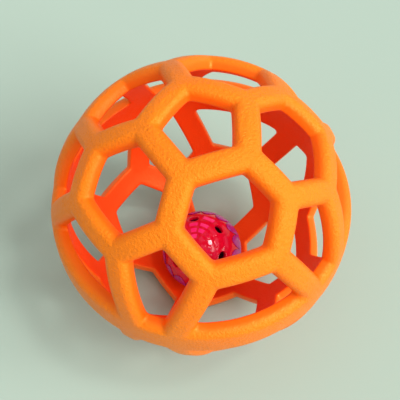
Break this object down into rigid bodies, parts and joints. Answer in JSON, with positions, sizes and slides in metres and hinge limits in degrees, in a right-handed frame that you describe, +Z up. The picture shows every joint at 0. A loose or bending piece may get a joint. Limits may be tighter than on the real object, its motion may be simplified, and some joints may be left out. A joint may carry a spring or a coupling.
{
  "type": "lattice bell ball",
  "caption": "Open rubber lattice ball for a dog, bonded from twin moulded halves, with a loose two-colour plastic ball inside that holds a jingle bell.",
  "frame": {"origin": "on the floor, under the middle of the cage", "axes": "+Z up through both polar windows, -X through the strut that runs down from the pole to a tall window, and the picture was taken from -Y and above"},
  "size_m": [0.128, 0.128, 0.123],
  "materials": {
    "orange_rubber": "matte orange rubber with a fine grain",
    "red_plastic": "glossy red",
    "purple_plastic": "glossy purple",
    "bell_metal": "bright plating",
    "pellet_steel": "plain steel"
  },
  "bodies": {
    "cage": {"cage_upper_half": "orange_rubber", "cage_lower_half": "orange_rubber"},
    "bell_ball": {"bell_ball_red_half": "red_plastic", "bell_ball_purple_half": "purple_plastic"},
    "jingle_bell": {"jingle_bell_upper_cup": "bell_metal", "jingle_bell_lower_cup": "bell_metal", "jingle_bell_loop": "bell_metal"},
    "pellet": {"jingle_bell_pellet": "pellet_steel"}
  },
  "joints": [
    {"name": "bell_ball_drop", "type": "slide", "parent": "cage", "child": "bell_ball", "axis": [0, 0, 1], "range_m": [0, 0.0846]},
    {"name": "jingle_bell_roll", "type": "hinge", "parent": "bell_ball", "child": "jingle_bell", "pos_m": [0, 0, 0.01843], "axis": [1, 0, 0], "continuous": true},
    {"name": "pellet_swing", "type": "hinge", "parent": "jingle_bell", "child": "pellet", "pos_m": [0, 0, 0.01063], "axis": [1, 0, 0], "range_deg": [-130, 130]}
  ]
}
